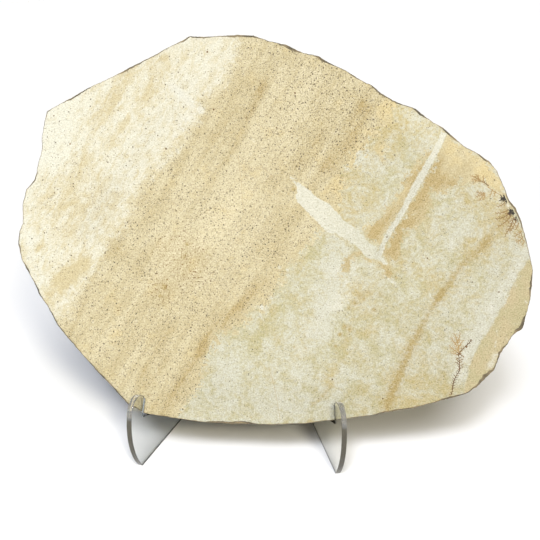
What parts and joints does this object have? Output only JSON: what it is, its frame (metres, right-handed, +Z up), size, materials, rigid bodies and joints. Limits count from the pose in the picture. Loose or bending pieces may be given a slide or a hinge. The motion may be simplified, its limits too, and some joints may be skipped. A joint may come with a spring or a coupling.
{
  "type": "fossil dragonfly slab on easel",
  "caption": "Broken limestone slab with the pale print of a fossil dragonfly, leaning back in the hooks of a clear bent-sheet easel.",
  "frame": {"origin": "on the floor, under the middle of the whole object's box", "axes": "+Z up, -Y the front that shows the print, +X to the right as seen from the front"},
  "size_m": [0.31, 0.1106, 0.2464],
  "materials": {
    "limestone": "matt split limestone, banded cream and tan",
    "clear_acrylic": "clear polished sheet"
  },
  "bodies": {
    "root": {"fossil_slab": "limestone", "easel": "clear_acrylic"}
  },
  "joints": []
}
